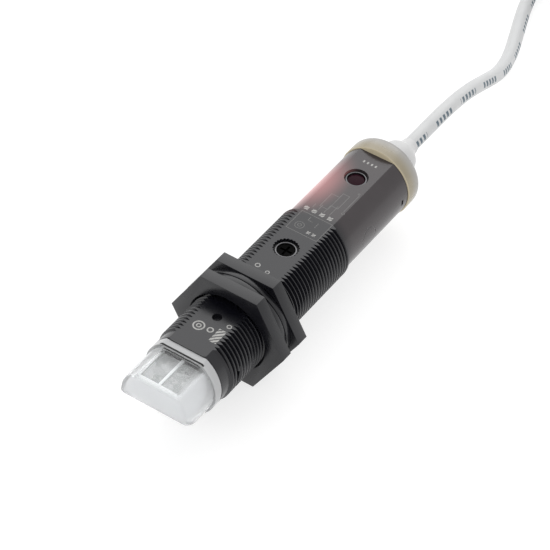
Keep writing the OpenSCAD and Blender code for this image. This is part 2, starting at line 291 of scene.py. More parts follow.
class Nodes:
    """Short names for building a material's node tree."""

    def __init__(self, name):
        self.material = bpy.data.materials.new(name)
        self.material.use_nodes = True
        self.tree = self.material.node_tree
        self.shader = self.tree.nodes["Principled BSDF"]
        self.place = self.tree.nodes.new("ShaderNodeTexCoord").outputs["Object"]

    def node(self, kind, inputs=(), **settings):
        """Adds a node, with its sockets given by name or number."""
        node = self.tree.nodes.new("ShaderNode" + kind)
        for key, value in settings.items():
            setattr(node, key, value)
        for key, value in dict(inputs).items():
            self.set(node.inputs[key], value)
        return node

    def set(self, socket, value):
        """Links a node's output to a socket, or writes a plain value into it."""
        if isinstance(value, bpy.types.NodeSocket):
            self.tree.links.new(value, socket)
        else:
            socket.default_value = value

    def put(self, **values):
        """Sets the shader's sockets; a name's underscores stand for spaces."""
        for key, value in values.items():
            self.set(self.shader.inputs[key.replace("_", " ")], value)
        return self

    def noise(self, size, detail=3.0):
        """Noise from 0 to 1, with blotches of a size in millimetres."""
        inputs = {"Vector": self.place, "Scale": 1 / (size * MM), "Detail": detail}
        return self.node("TexNoise", inputs).outputs["Fac"]

    def math(self, operation, a, b=0.0):
        """One sum on two values."""
        return self.node("Math", {0: a, 1: b}, operation=operation).outputs[0]

    def least(self, *values):
        """The lowest of several values."""
        lowest = values[0]
        for value in values[1:]:
            lowest = self.math("MINIMUM", lowest, value)
        return lowest

    def most(self, values):
        """The highest of several values."""
        highest = values[0]
        for value in values[1:]:
            highest = self.math("MAXIMUM", highest, value)
        return highest

    def span(self, value, low, high, out_low=0.0, out_high=1.0, smooth=False):
        """Maps a value's range to another one, held at its ends."""
        kind = "SMOOTHSTEP" if smooth else "LINEAR"
        inputs = {"Value": value, "From Min": low, "From Max": high, "To Min": out_low, "To Max": out_high}
        return self.node("MapRange", inputs, interpolation_type=kind).outputs[0]

    def mix(self, share, a, b):
        """Mixes two colours."""
        node = self.node("Mix", data_type="RGBA")
        for socket, value in zip((node.inputs[0], node.inputs[6], node.inputs[7]), (share, a, b)):
            self.set(socket, value)
        return node.outputs[2]

    def axes(self):
        """The three coordinates, in millimetres."""
        scaled = self.node("VectorMath", {0: self.place, "Scale": 1 / MM}, operation="SCALE")
        return self.node("SeparateXYZ", {0: scaled.outputs[0]}).outputs[:]

    def distance(self, a, b):
        """How far apart two points are, in metres."""
        return self.node("VectorMath", {0: a, 1: b}, operation="DISTANCE").outputs["Value"]

    def bump(self, height, depth):
        """Surface relief of a depth in millimetres."""
        return self.node("Bump", {"Height": height, "Distance": depth * MM}).outputs[0]


def grey(value, tint=(1, 1, 1)):
    """A grey, with a slight tint if one is given."""
    return (value * tint[0], value * tint[1], value * tint[2], 1)


def darker(colour, share):
    """A colour made darker by a share."""
    return tuple(c * (1 - share) for c in colour[:3]) + (1,)


def plastic(name, colour, rough=0.35, vary=0.25, grain=0.25, depth=0.004, **sockets):
    """Moulded plastic: soft blotches of colour and gloss over a fine moulded grain."""
    n = Nodes(name)
    blotch = n.noise(3.0)
    n.put(Base_Color=n.mix(blotch, colour, darker(colour, vary)))
    n.put(Roughness=n.span(blotch, 0.3, 0.7, rough * 0.85, rough * 1.15))
    n.put(Normal=n.bump(n.noise(grain, 2.0), depth))
    return n.put(**sockets).material


def metal(name, colour, rough=0.25, vary=0.2, grain=0.15):
    """Metal with fine uneven gloss."""
    n = Nodes(name)
    blotch = n.noise(1.2)
    n.put(Base_Color=n.mix(blotch, colour, darker(colour, vary)), Metallic=1.0)
    n.put(Roughness=n.span(blotch, 0.3, 0.7, rough * 0.8, rough * 1.2))
    n.put(Normal=n.bump(n.noise(grain, 2.0), 0.002))
    return n.material


def board_material():
    """Green circuit board with fine copper tracks under its varnish."""
    n = Nodes("circuit_board")
    y = n.axes()[1]
    tracks = n.math("PINGPONG", n.math("ADD", y, n.math("MULTIPLY", n.noise(6.0), 1.5)), 0.6)
    green = n.mix(n.noise(2.0), (0.008, 0.09, 0.035, 1), (0.012, 0.12, 0.05, 1))
    n.put(Base_Color=n.mix(n.span(tracks, 0.4, 0.45), green, (0.03, 0.2, 0.07, 1)))
    return n.put(Roughness=0.3).material


def glass_material():
    """Clear moulded optics: pale, with cells of painted light and shade standing for facets that catch the
    light differently.
    """
    n = Nodes("optics_glass")
    scale = 1 / (2.2 * MM)
    cells = n.node("TexVoronoi", {"Vector": n.place, "Scale": scale})
    tone = n.node("SeparateColor", {0: cells.outputs["Color"]}).outputs[0]
    streak = n.noise(0.8, 4.0)
    # each cell's grey is painted light and shade standing for a facet
    facet_light_and_shade = n.mix(tone, grey(0.50, (0.97, 0.99, 1)), grey(0.86, (0.98, 0.99, 1)))
    n.put(Base_Color=n.mix(n.span(streak, 0.55, 0.7), facet_light_and_shade, grey(0.92)))
    n.put(Transmission_Weight=0.35, IOR=1.4, Roughness=n.span(streak, 0.3, 0.7, 0.05, 0.2))
    edges = n.node("TexVoronoi", {"Vector": n.place, "Scale": scale}, feature="DISTANCE_TO_EDGE")
    n.put(Normal=n.bump(n.span(edges.outputs["Distance"], 0, 0.12), 0.03))
    return n.material


BLACK = (0.005, 0.005, 0.0065, 1)
SLOT_MATERIALS = {
    "seal_rubber": plastic("seal_rubber", grey(0.02), rough=0.6, grain=0.15, depth=0.006),
    # the carrier's faint white glow is painted light; the carrier is no lamp
    "carrier_plastic": plastic(
        "carrier_plastic", grey(0.86, (0.98, 0.99, 1)), rough=0.45, vary=0.06, grain=0.4,
        Emission_Color=grey(1, (0.97, 0.98, 1)), Emission_Strength=0.12,
    ),
    "optics_glass": glass_material(),
    "black_plastic": plastic("black_plastic", BLACK, rough=0.4),
    "led_clear": plastic("led_clear", grey(0.85), rough=0.08, vary=0.04, Transmission_Weight=0.7),
    "chip_plastic": plastic("chip_plastic", grey(0.012), rough=0.5, grain=0.12),
    "circuit_board": board_material(),
    "tinned_steel": metal("tinned_steel", (0.62, 0.63, 0.64, 1), rough=0.3),
    "capacitor_aluminium": metal("capacitor_aluminium", (0.7, 0.71, 0.72, 1), rough=0.35),
    "led_red": plastic(
        "led_red", (0.6, 0.02, 0.02, 1), rough=0.15, Emission_Color=(1, 0.1, 0.08, 1), Emission_Strength=3.0,
    ),
    "trimmer_plastic": plastic("trimmer_plastic", (0.02, 0.1, 0.3, 1), rough=0.4),
    "dial_plastic": plastic("dial_plastic", grey(0.001), rough=0.6, vary=0.3, Specular_IOR_Level=0.03),
    "bright_metal": metal("bright_metal", (0.14, 0.14, 0.145, 1), rough=0.32),
    "tie_nylon": plastic("tie_nylon", grey(0.008), rough=0.35, grain=0.5),
    "core_brown": plastic("core_brown", (0.13, 0.05, 0.02, 1), rough=0.3, vary=0.15, grain=0.4),
    "core_white": plastic("core_white", (0.7, 0.7, 0.68, 1), rough=0.3, vary=0.15, grain=0.4),
    "core_blue": plastic("core_blue", (0.012, 0.05, 0.32, 1), rough=0.3, vary=0.15, grain=0.4),
    "core_black": plastic("core_black", (0.006, 0.006, 0.007, 1), rough=0.3, vary=0.15, grain=0.4),
}


def finish_cad_nodes():
    """Gives each CAD node that stays its slot's material."""
    for part in frame["record"]["subparts"]:
        material = SLOT_MATERIALS.get(part["material_slot"])
        if material:
            mesh = nodes[part["node"]].data
            mesh.materials.clear()
            mesh.materials.append(material)


finish_cad_nodes()


# ---- cable ----

ROUTE = [
    (52.4, 0, 0), (60, 0, 0), (68, 0, 0), (76, 0, 0), (82, 0, -0.2), (88, 0, -0.9), (94, 0, -2.3),
    (100, 0, -4.3), (106, 0.4, -6.6), (112, 1.6, -8.6), (118, 3.3, -9.8), (124, 5.4, -10.2),
    (130, 7.6, -10.25), (136, 9.6, -10.25), (142, 11.1, -10.25), (148, 11.9, -10.25), (152, 12, -10.25),
]
CHANGE_L = 14.0
LIFT_OUT = 9.6
LIFT_RAMP = 6.0
LAYERS = [-10.25 + 2 * CABLE_R * i for i in range(LAYER_COUNT)]
STEP = 2.0
HALF_TURN = 20


def spline(points, step):
    """Smooth line through points, about a step apart."""
    found = []
    padded = [points[0]] + list(points) + [points[-1]]
    for i in range(1, len(padded) - 2):
        p0, p1, p2, p3 = (Vector(p) for p in padded[i - 1:i + 3])
        pieces = max(1, round((p2 - p1).length / step))
        for k in range(pieces):
            t = k / pieces
            found.append(
                0.5 * (2 * p1 + (p2 - p0) * t + (2 * p0 - 5 * p1 + 4 * p2 - p3) * t ** 2
                       + (3 * p1 - p0 - 3 * p2 + p3) * t ** 3)
            )
    found.append(Vector(points[-1]))
    return found


def eased(share):
    """0 to 1 with a level start and end."""
    share = min(1.0, max(0.0, share))
    return (1 - math.cos(math.pi * share)) / 2


def hank_cells():
    """Each turn's lane and height: outer and inner by turns, rising a layer after each pair."""
    cells = []
    for i, height in enumerate(LAYERS):
        pair = [(LANES[0], height), (LANES[1], height)]
        cells += pair if i % 2 == 0 else pair[::-1]
    return cells


def hank_path():
    """The wound length. On the -Y side each turn moves to the next one's cell, and rises over the tie."""
    near, far = HANK_X, HANK_X + HANK_RUN
    cells = hank_cells()
    changes = len(cells) - 1
    straight = round(HANK_RUN / STEP)
    path = []
    for i in range(changes):
        (r0, z0), (r1, z1) = cells[i], cells[i + 1]
        path += [Vector((near + HANK_RUN * k / straight, HANK_Y + r0, z0)) for k in range(straight)]
        for k in range(HALF_TURN):
            a = math.pi * k / HALF_TURN
            path.append(Vector((far + r0 * math.sin(a), HANK_Y + r0 * math.cos(a), z0)))
        start = far - (HANK_RUN - CHANGE_L) / (changes - 1) * (changes - 1 - i)
        for k in range(straight):
            x = far - HANK_RUN * k / straight
            share = eased((start - x) / CHANGE_L)
            lift = TIE_T * eased((LIFT_OUT - abs(x - TIE_X - TIE_W / 2)) / LIFT_RAMP)
            path.append(Vector((x, HANK_Y - r0 - (r1 - r0) * share, z0 + (z1 - z0) * share + lift)))
        for k in range(HALF_TURN):
            a = math.pi * k / HALF_TURN
            path.append(Vector((near - r1 * math.sin(a), HANK_Y - r1 * math.cos(a), z1)))
    lane, height = cells[-1]
    return path + spline([(near, HANK_Y + lane, height), (TAIL_X, HANK_Y + lane, height)], STEP)


def tube(path, radius, sides, uv=False):
    """Round tube along a path, with flat ends. UV runs along it in metres and round it from 0 to 1."""
    bm = bmesh.new()
    layer = bm.loops.layers.uv.new("along") if uv else None
    rings = []
    lengths = [0.0]
    for a, b in zip(path, path[1:]):
        lengths.append(lengths[-1] + (b - a).length)
    side = Vector((0, 1, 0))
    for i, point in enumerate(path):
        heading = (path[min(i + 1, len(path) - 1)] - path[max(i - 1, 0)]).normalized()
        side = (side - heading * side.dot(heading)).normalized()
        up = heading.cross(side)
        ring = []
        for k in range(sides):
            a = 2 * math.pi * k / sides
            ring.append(bm.verts.new(point + radius * (side * math.cos(a) + up * math.sin(a))))
        rings.append(ring)
    for i in range(len(rings) - 1):
        for k in range(sides):
            j = (k + 1) % sides
            face = bm.faces.new((rings[i][k], rings[i][j], rings[i + 1][j], rings[i + 1][k]))
            if uv:
                corners = ((i, k), (i, k + 1), (i + 1, k + 1), (i + 1, k))
                for loop, (along, around) in zip(face.loops, corners):
                    loop[layer].uv = (lengths[along] * MM, around / sides)
    bm.faces.new(rings[0])
    bm.faces.new(rings[-1])
    bmesh.ops.recalc_face_normals(bm, faces=bm.faces)
    return bm


def cable_material():
    """Pale grey jacket with short groups of printed strokes, as plain as a dashed line."""
    group_pitch, stroke_pitch, row_place = 5.3 * MM, 0.7 * MM, 0.43
    n = Nodes("cable_jacket")
    uv = n.node("UVMap", uv_map="along").outputs[0]
    along, around = n.node("SeparateXYZ", {0: uv}).outputs[:2]
    group = n.math("PINGPONG", n.math("ADD", along, 0.6 * MM), group_pitch)
    stroke = n.math("PINGPONG", along, stroke_pitch)
    row = n.math("ABSOLUTE", n.math("SUBTRACT", around, row_place))
    inked = n.least(
        n.span(group, 1.9 * MM, 2.0 * MM),
        n.span(stroke, 0.28 * MM, 0.34 * MM),
        n.span(row, 0.07, 0.055),
    )
    blotch = n.noise(5.0)
    jacket = n.mix(blotch, grey(0.60, (0.99, 1, 1)), grey(0.54, (0.99, 1, 1.01)))
    ink = n.mix(n.noise(0.5), (0.07, 0.1, 0.13, 1), (0.12, 0.17, 0.2, 1))
    n.put(Base_Color=n.mix(inked, jacket, ink))
    n.put(Roughness=n.span(blotch, 0.3, 0.7, 0.38, 0.5))
    n.put(Normal=n.bump(n.noise(0.35, 2.0), 0.004))
    return n.material


# each stripped core's place across the cable, its sideways angle and its downward angle
CORES = {
    "brown": (-0.6, -0.6, -6.5, 0.8),
    "blue": (-0.6, 0.6, -3.5, 1.2),
    "black": (0.6, -0.6, -2.5, 0.8),
    "white": (0.6, 0.6, 0, 1.2),
}
CORE_R = 0.55
CORE_L = 28.0
CORE_GAP = 0.1
TIP_L = 6.0


def core_line(y, z, yaw, dip, start, end):
    """A stretch of a stripped core's line, counted from the jacket's end."""
    turn = Matrix.Rotation(math.radians(yaw), 3, "Z") @ Matrix.Rotation(math.radians(dip), 3, "Y")
    origin = Vector((TAIL_X + CORE_GAP, HANK_Y + LANES[1] + y, LAYERS[-1] + z))
    pieces = 12
    return [origin + turn @ Vector((start + (end - start) * k / pieces, 0, 0)) for k in range(pieces + 1)]


def add_tie():
    """Cable tie round the hank: a ribbed strap with rounded turns, and its head on the inner side."""
    y0 = HANK_Y - LANES[0] - CABLE_R
    y1 = HANK_Y - LANES[1] + CABLE_R
    low = FLOOR_Z + TIE_T
    top = LAYERS[-1] + CABLE_R + TIE_T
    outside = block((TIE_X, y0 - TIE_T, low - TIE_T), (TIE_X + TIE_W, y1 + TIE_T, top + TIE_T))
    strap = new_object("cable_tie_look", outside)
    rounded(strap, 0.7, 4)
    combine(strap, block((TIE_X - 1, y0, low), (TIE_X + TIE_W + 1, y1, top)), "DIFFERENCE")
    notch_pitch, notch_w, notch_depth, rim = 0.9, 0.4, 0.12, 0.5
    for k in range(14):
        z = low + 1 + k * notch_pitch
        notch = block((TIE_X + rim, y0 - 1, z), (TIE_X + TIE_W - rim, y0 - TIE_T + notch_depth, z + notch_w))
        combine(strap, notch, "DIFFERENCE")
    wider, tall = 0.6, 3
    box = block((TIE_X - wider, y1 + 0.1, top - tall), (TIE_X + TIE_W + wider, y1 + tall, top + TIE_T))
    head = new_object("tie_head", box)
    rounded(head, 0.35, 3)
    combine(strap, as_bmesh(head), "UNION")
    shade(strap)
    add_piece(strap, "sensor", "tie_nylon", SLOT_MATERIALS["tie_nylon"], "cable_tie")
    return strap


def add_cable():
    """The whole cable as one tube, with the tie and the four stripped cores at its far end."""
    lead = spline(ROUTE, STEP)[:-1] + spline([ROUTE[-1], (HANK_X, HANK_Y + LANES[0], LAYERS[0])], STEP)[:-1]
    path = lead + hank_path()
    cable = new_object("cable", tube(path, CABLE_R, 16, uv=True))
    add_piece(cable, "sensor", "cable_jacket", cable_material(), "cable_run", "cable_hank")
    ends = [add_tie()]
    tips = []
    for name, place in CORES.items():
        slot = "core_" + name
        core = new_object(slot + "_look", tube(core_line(*place, 0, CORE_L), CORE_R, 16))
        ends.append(add_piece(core, "sensor", slot, SLOT_MATERIALS[slot], slot))
        tips.append(tube(core_line(*place, CORE_L - 0.3, CORE_L + TIP_L), CORE_R * 0.65, 12))
    bare = new_object("core_tips_look", joined(tips))
    ends.append(add_piece(bare, "sensor", "tinned_steel", SLOT_MATERIALS["tinned_steel"], "core_tips"))


add_cable()


# ---- barrel ----

THREAD_STEPS = 96
THREAD_END = THREAD_REAR - 0.5
PAST = 10.0
TEETH = 22
HOLE_X = -7.95
HOLE_R = 1.05
HOLE_DEPTH = 0.9
SLOT_X = (-13.1, -12.4)
SLOT_Z = (-4.6, 1.3)
CATCH_X = (49.3, 50.0)
CATCH_Y = (6.5, 9.5)
CATCH_HALF = 0.7


def thread_columns(bm):
    """The barrel's outside as columns of points, one for each angle of a right-hand thread."""
    crest, flank = 0.1 * PITCH, 0.42 * PITCH
    turns = round((THREAD_REAR - THREAD_FRONT) / PITCH)
    columns = []
    for j in range(THREAD_STEPS + 1):
        angle = 2 * math.pi * j / THREAD_STEPS
        points = [(BARREL_FRONT, BAND_R - 0.3), (BARREL_FRONT + 0.3, BAND_R)]
        points += [(THREAD_FRONT - 0.4, BAND_R), (THREAD_FRONT, THREAD_R)]
        for i in range(-1, turns):
            start = THREAD_FRONT + PITCH * (i + j / THREAD_STEPS)
            for offset, root in ((crest, 0), (flank, 1), (PITCH - flank, 1), (PITCH - crest, 0)):
                x = min(THREAD_END, max(THREAD_FRONT, start + offset))
                depth = min(1.0, (x - THREAD_FRONT) / 0.6, (THREAD_END - x) / 0.2)
                points.append((x, THREAD_R - root * depth * (THREAD_R - ROOT_R)))
        points += [(THREAD_END, THREAD_R), (THREAD_REAR, REAR_R), (BARREL_REAR, REAR_R)]
        columns.append([bm.verts.new((x, r * math.sin(angle), r * math.cos(angle))) for x, r in points])
    return columns


def barrel_mesh():
    """The threaded tube with its flats, bore, wells, blind hole, side slot and catch windows."""
    bm = bmesh.new()
    columns = thread_columns(bm)
    grid_faces(bm, columns, wrap=False)
    for end in (0, -1):
        bm.faces.new([column[end] for column in columns[:-1]])
    bmesh.ops.remove_doubles(bm, verts=bm.verts, dist=1e-4)
    bmesh.ops.recalc_face_normals(bm, faces=bm.faces)
    barrel = new_object("barrel_look", bm)
    front, rear = BARREL_FRONT - 1, BARREL_REAR + 1
    combine(barrel, block((front, -PAST, -FLAT_Z), (rear, PAST, FLAT_Z)), "INTERSECT")
    combine(barrel, flatted_rod(CAVITY_R, CAVITY_Z, front, rear), "DIFFERENCE")
    for x in (TRIMMER_X, BUTTON_X):
        combine(barrel, prism(circle(WELL_R, 64, (x, 0)), CAVITY_Z - 1, PAST, "Z"), "DIFFERENCE")
    teeth = toothed(WELL_R - 0.03, WELL_R + 0.2, TEETH, TRIMMER_X)
    combine(barrel, prism(teeth, FLAT_Z - 0.5, PAST, "Z"), "DIFFERENCE")
    hole = circle(HOLE_R, 48, (HOLE_X, 0))
    combine(barrel, prism(hole, FLAT_Z - HOLE_DEPTH, PAST, "Z"), "DIFFERENCE")
    combine(barrel, block((SLOT_X[0], -PAST, SLOT_Z[0]), (SLOT_X[1], -8, SLOT_Z[1])), "DIFFERENCE")
    for y0, y1 in (CATCH_Y, (-CATCH_Y[1], -CATCH_Y[0])):
        window = block((CATCH_X[0], y0, -CATCH_HALF), (CATCH_X[1], y1, CATCH_HALF))
        combine(barrel, window, "DIFFERENCE")
    shade(barrel, 24)
    return barrel


def toothed(low, high, teeth, x):
    """Outline of a ring of small teeth between two radii."""
    points = []
    for i in range(teeth):
        for share, radius in ((0, low), (0.35, high), (0.65, high)):
            a = 2 * math.pi * (i + share) / teeth
            points.append((x + radius * math.cos(a), radius * math.sin(a)))
    return points


def flatted_rod(radius, flat, x0, x1):
    """Round rod along X with a flat above and below."""
    edge = math.asin(flat / radius)
    steps = 40
    outline = []
    for side in (0, 1):
        for k in range(steps + 1):
            a = side * math.pi - edge + 2 * edge * k / steps
            outline.append((radius * math.cos(a), radius * math.sin(a)))
    return prism(outline, x0, x1, "X")


# Printed marks on the flat, where the photo has its print. Rings are x, y, radius and line width.
# Blocks, frames and bars are x0, x1, y0 and y1, and a block has its hatching's pitch too.
FINE_LINE = 0.14
BOLD_RINGS = (
    (-11.9, 1.7, 1.15, 0.34), (-11.9, 1.7, 0.45, 0.3), (-11.6, -0.9, 0.6, 0.3), (-8.7, -3.5, 0.45, 0.25),
    (9.2, 1.9, 0.5, 0.22), (8.6, -0.9, 0.4, 0.2),
)
BOLD_BLOCKS = ((-14.2, -10.2, -4.0, -2.2, 1.1), (22.9, 23.7, -2.9, -2.1, 0.7), (22.9, 23.7, -1.6, -0.8, 0.7))
FAINT_RINGS = ((24.2, 1.6, 1.0), (24.2, 1.6, 0.4), (32.4, -3.9, 0.3), (39.4, -3.4, 0.2))
FAINT_FRAMES = ((22.1, 28.2, -4.0, 3.6), (31.6, 36.2, -0.6, 1.4), (33.0, 37.6, -2.2, -0.6))
FAINT_BARS = (
    (26.4, 27.6, 0.9, 1.04), (26.4, 26.54, -0.2, 0.9), (25.2, 26.9, -1.5, -1.36), (33.0, 39.0, -3.75, -3.61),
)
ROW_COUNT = 4
ROW_PITCH = 1.97


def flat_marks(n, x, y):
    """Two values that are above 0 where the flat is printed: in bold ink and in faint ink."""

    def bar(x0, x1, y0, y1):
        sides = [n.math("SUBTRACT", x, x0), n.math("SUBTRACT", x1, x)]
        sides += [n.math("SUBTRACT", y, y0), n.math("SUBTRACT", y1, y)]
        return n.least(*sides)

    def outline(shape, line=FINE_LINE):
        return n.math("SUBTRACT", line / 2, n.math("ABSOLUTE", shape))

    def disc(cx, cy, radius):
        across = n.math("SUBTRACT", x, cx)
        along = n.math("SUBTRACT", y, cy)
        squares = n.math("ADD", n.math("MULTIPLY", across, across), n.math("MULTIPLY", along, along))
        return n.math("SUBTRACT", radius, n.math("SQRT", squares))

    def hatched(shape, pitch=0.7):
        """The shape, broken into slanting stripes."""
        slant = n.math("PINGPONG", n.math("ADD", x, y), pitch / 2)
        return n.least(shape, n.math("SUBTRACT", slant, pitch * 0.16))

    bold = [outline(disc(cx, cy, radius), line) for cx, cy, radius, line in BOLD_RINGS]
    bold += [hatched(bar(*sides), pitch) for *sides, pitch in BOLD_BLOCKS]
    faint = [outline(disc(*ring)) for ring in FAINT_RINGS]
    faint += [outline(bar(*sides)) for sides in FAINT_FRAMES]
    faint += [bar(*sides) for sides in FAINT_BARS]
    # a row of blocks, a line behind each of them, and a row of short bars behind the button
    for k in range(ROW_COUNT):
        middle = 3.35 - ROW_PITCH * k
        bold.append(hatched(bar(28.9, 30.0, middle - 0.55, middle + 0.55)))
        bold.append(bar(48.5, 49.2, 1.2 - k, 1.6 - k))
        line = middle * 0.72
        faint.append(bar(30.3, 31.6 + 0.7 * k, line - FINE_LINE / 2, line + FINE_LINE / 2))
    return n.most(bold), n.most(faint)


def barrel_material():
    """Near-black moulded plastic that turns smoky and lets light through towards the rear."""
    n = Nodes("barrel_plastic")
    x, y, z = n.axes()
    blotch = n.noise(4.0)
    black = n.mix(blotch, (0.0035, 0.0037, 0.0065, 1), (0.006, 0.006, 0.009, 1))
    smoky = n.mix(blotch, (0.034, 0.028, 0.030, 1), (0.045, 0.037, 0.040, 1))
    body = n.mix(n.span(x, 27.0, 31.0, smooth=True), black, smoky)
    # printed marks, a little worn
    on_flat = n.span(z, FLAT_Z - 0.1, FLAT_Z - 0.05)
    wear = n.span(n.noise(0.4), 0.3, 0.5, 0.6, 1.0)
    for shapes, ink in zip(flat_marks(n, x, y), (0.38, 0.13)):
        share = n.math("MULTIPLY", n.math("MULTIPLY", n.span(shapes, 0.0, 0.03), on_flat), wear)
        body = n.mix(share, body, grey(ink, (1, 0.99, 0.95)))
    n.put(Base_Color=body)
    n.put(Roughness=n.span(blotch, 0.3, 0.7, 0.2, 0.27))
    # fine grain, and a moulded ring sunk in the smoky side
    centre = (36.3 * MM, -REAR_R * MM, 0)
    ring = n.math("ABSOLUTE", n.math("SUBTRACT", n.distance(n.place, centre), 2.5 * MM))
    grain = n.math("MULTIPLY", n.noise(0.22, 2.0), 0.03)
    n.put(Normal=n.bump(n.math("ADD", grain, n.span(ring, 0, 0.16 * MM, smooth=True)), 0.07))
    # the lit status lamp shows through the wall beside the button, in a patch longer than wide
    squeeze = 0.62
    squeezed = n.node("VectorMath", {0: n.place, 1: (squeeze, 1, 1)}, operation="MULTIPLY").outputs[0]
    lamp = (38 * squeeze * MM, 6.6 * MM, 6.2 * MM)
    glow = n.span(n.distance(squeezed, lamp), 8 * MM, 0.5 * MM, smooth=True)
    n.put(Emission_Color=(1.0, 0.38, 0.38, 1), Emission_Strength=n.math("MULTIPLY", glow, 0.42))
    return n.material


add_piece(barrel_mesh(), "sensor", "barrel_plastic", barrel_material(), "barrel")


# ---- optical head ----

SPIGOT_GAP = 0.1
SPIGOT_WALL = 0.8
OVERLAP = 0.01


def spigot(wall, x0, x1):
    """The rod that plugs into the barrel's bore, less a wall."""
    less = SPIGOT_GAP + wall
    return flatted_rod(CAVITY_R - less, CAVITY_Z - less, x0, x1)


def head_solid(name, inset, rear, repeats):
    """Round bar with the window's flat, a flat front and the 45 degree cut, all rounded."""
    radius = HEAD_R - inset
    front = HEAD_FRONT + inset
    cut = HEAD_FRONT + HEAD_CUT_Z + inset * math.sqrt(2)
    low = -FLAT_Z + inset
    top = WINDOW_Z - inset
    side = [(front, cut - front), (front, top), (rear, top), (rear, low), (cut - low, low)]
    obj = new_object(name, prism(circle(radius, 96), HEAD_FRONT - 2, rear + 1, "X"))
    combine(obj, prism(side, -PAST, PAST, "Y"), "INTERSECT")
    softened(obj, 0.3, repeats)
    return obj


def cover_material():
    """Clear plastic, milky away from the window, with a painted shadow line along the window's rear edge and
    a faint painted glow where it is clear.
    """
    n = Nodes("clear_plastic")
    x, y, z = n.axes()
    side = n.math("ABSOLUTE", y)
    rear = FLANGE_FRONT
    raised = n.span(z, WINDOW_Z - 1.3, WINDOW_Z - 0.95)
    window = n.least(raised, n.span(x, rear + 0.1, rear - 0.2), n.span(side, 6.3, 5.6))
    # a dark strip along the window's rear edge: painted shadow of the step in front of the flange
    line = n.least(
        raised,
        n.span(x, rear + 0.04, rear + 0.1),
        n.span(x, rear + 0.6, rear + 0.54),
        n.span(side, 5.36, 5.3),
    )
    blotch = n.noise(2.5)
    milky = n.mix(blotch, grey(0.95, (0.98, 0.99, 1)), grey(0.91, (0.98, 0.99, 1)))
    milky = n.mix(n.span(x, rear - 0.2, rear + 0.2), milky, grey(0.70, (0.98, 0.99, 1)))
    body = n.mix(window, milky, grey(0.98, (0.99, 1, 1)))
    # the painted shadow line is near-black
    n.put(Base_Color=n.mix(line, body, grey(0.02)))
    flange = n.span(x, rear + 0.2, rear - 0.2, 0.5, 1.0)
    clear = n.math("MULTIPLY", n.span(window, 0, 1, 0.66, 0.96), flange)
    n.put(Transmission_Weight=n.math("SUBTRACT", clear, line))
    # a faint painted glow where the cover is clear
    n.put(Emission_Color=grey(1), Emission_Strength=n.span(clear, 0.6, 0.7, 0.0, 0.02))
    n.put(Roughness=n.span(window, 0, 1, 0.14, 0.03), IOR=n.span(window, 0, 1, 1.18, 1.12))
    n.put(Normal=n.bump(n.noise(1.8, 2.0), 0.003))
    return n.material


def add_head():
    """Hollow cover with its rounded edges, the flange behind it and the spigot in the barrel."""
    cover = head_solid("head_cover_look", 0, FLANGE_FRONT + 3, 30)
    combine(cover, block((FLANGE_FRONT + OVERLAP, -PAST, -PAST), (0, PAST, PAST)), "DIFFERENCE")
    combine(cover, flatted_rod(BAND_R, FLANGE_Z, FLANGE_FRONT, BARREL_FRONT), "UNION")
    spigot_end = BARREL_FRONT + SPIGOT_L
    combine(cover, spigot(0, BARREL_FRONT - OVERLAP, spigot_end), "UNION")
    inside = head_solid("inside", COVER_WALL, FLANGE_FRONT + 3, 18)
    combine(inside, block((FLANGE_FRONT + 1.2, -PAST, -PAST), (0, PAST, PAST)), "DIFFERENCE")
    combine(cover, as_bmesh(inside), "DIFFERENCE")
    combine(cover, spigot(SPIGOT_WALL, FLANGE_FRONT, spigot_end + 1), "DIFFERENCE")
    shade(cover, 32)
    add_piece(cover, "sensor", "clear_plastic", cover_material(), "head_cover")


add_head()


# ---- nuts and washers ----

def nut_mesh(name, x):
    """Hexagon nut with chamfered mouths and grooves round its bore."""
    corner = NUT_FLATS / 2 / math.cos(math.pi / 6)
    nut = new_object(name, prism(circle(corner, 6), x, x + NUT_H, "X"))
    mouth = 0.45
    bore, wide, deep = NUT_BORE, NUT_BORE + mouth, NUT_BORE + 0.32
    profile = [(x - 1, 0), (x - 1, wide), (x, wide), (x + mouth, bore)]
    for i in range(2):
        start = x + mouth + 0.05 + i * PITCH
        profile += [(start + 0.12, bore), (start + 0.4, deep), (start + 0.55, deep), (start + 0.83, bore)]
    end = x + NUT_H
    profile += [(end - mouth, bore), (end, wide), (end + 1, wide), (end + 1, 0)]
    combine(nut, lathe(profile, 96, closed=False), "DIFFERENCE")
    rounded(nut, 0.14, 3, 40)
    shade(nut, 30)
    return nut


def washer_mesh(name, x):
    """Flat ring with softly rounded rims."""
    soft = 0.18
    outer, inner, end = WASHER_R, WASHER_BORE, x + WASHER_H
    profile = [
        (x, inner + soft), (x, outer - soft), (x + soft * 0.3, outer - soft * 0.3), (x + soft, outer),
        (end - soft, outer), (end - soft * 0.3, outer - soft * 0.3), (end, outer - soft),
        (end, inner + soft), (end - soft, inner), (x + soft, inner),
    ]
    return new_object(name, lathe(profile, 128))


def nut_material():
    """Black moulded plastic with a fine grain."""
    n = Nodes("nut_plastic")
    blotch = n.noise(3.5)
    n.put(Base_Color=n.mix(blotch, (0.004, 0.0042, 0.0065, 1), (0.0075, 0.0075, 0.010, 1)))
    n.put(Roughness=n.span(blotch, 0.3, 0.7, 0.24, 0.32))
    n.put(Normal=n.bump(n.noise(0.25, 3.0), 0.003))
    return n.material


def add_nuts():
    """The two nuts and the two washers, each on its own body."""
    material = nut_material()
    inner = CLAMP_GAP + WASHER_H
    places = (
        ("front_nut", nut_mesh, -inner - NUT_H),
        ("rear_nut", nut_mesh, inner),
        ("front_washer", washer_mesh, -inner),
        ("rear_washer", washer_mesh, CLAMP_GAP),
    )
    for name, mesh, x in places:
        add_piece(mesh(name + "_look", x), name, "nut_plastic", material, name)


add_nuts()


# ---- controls ----

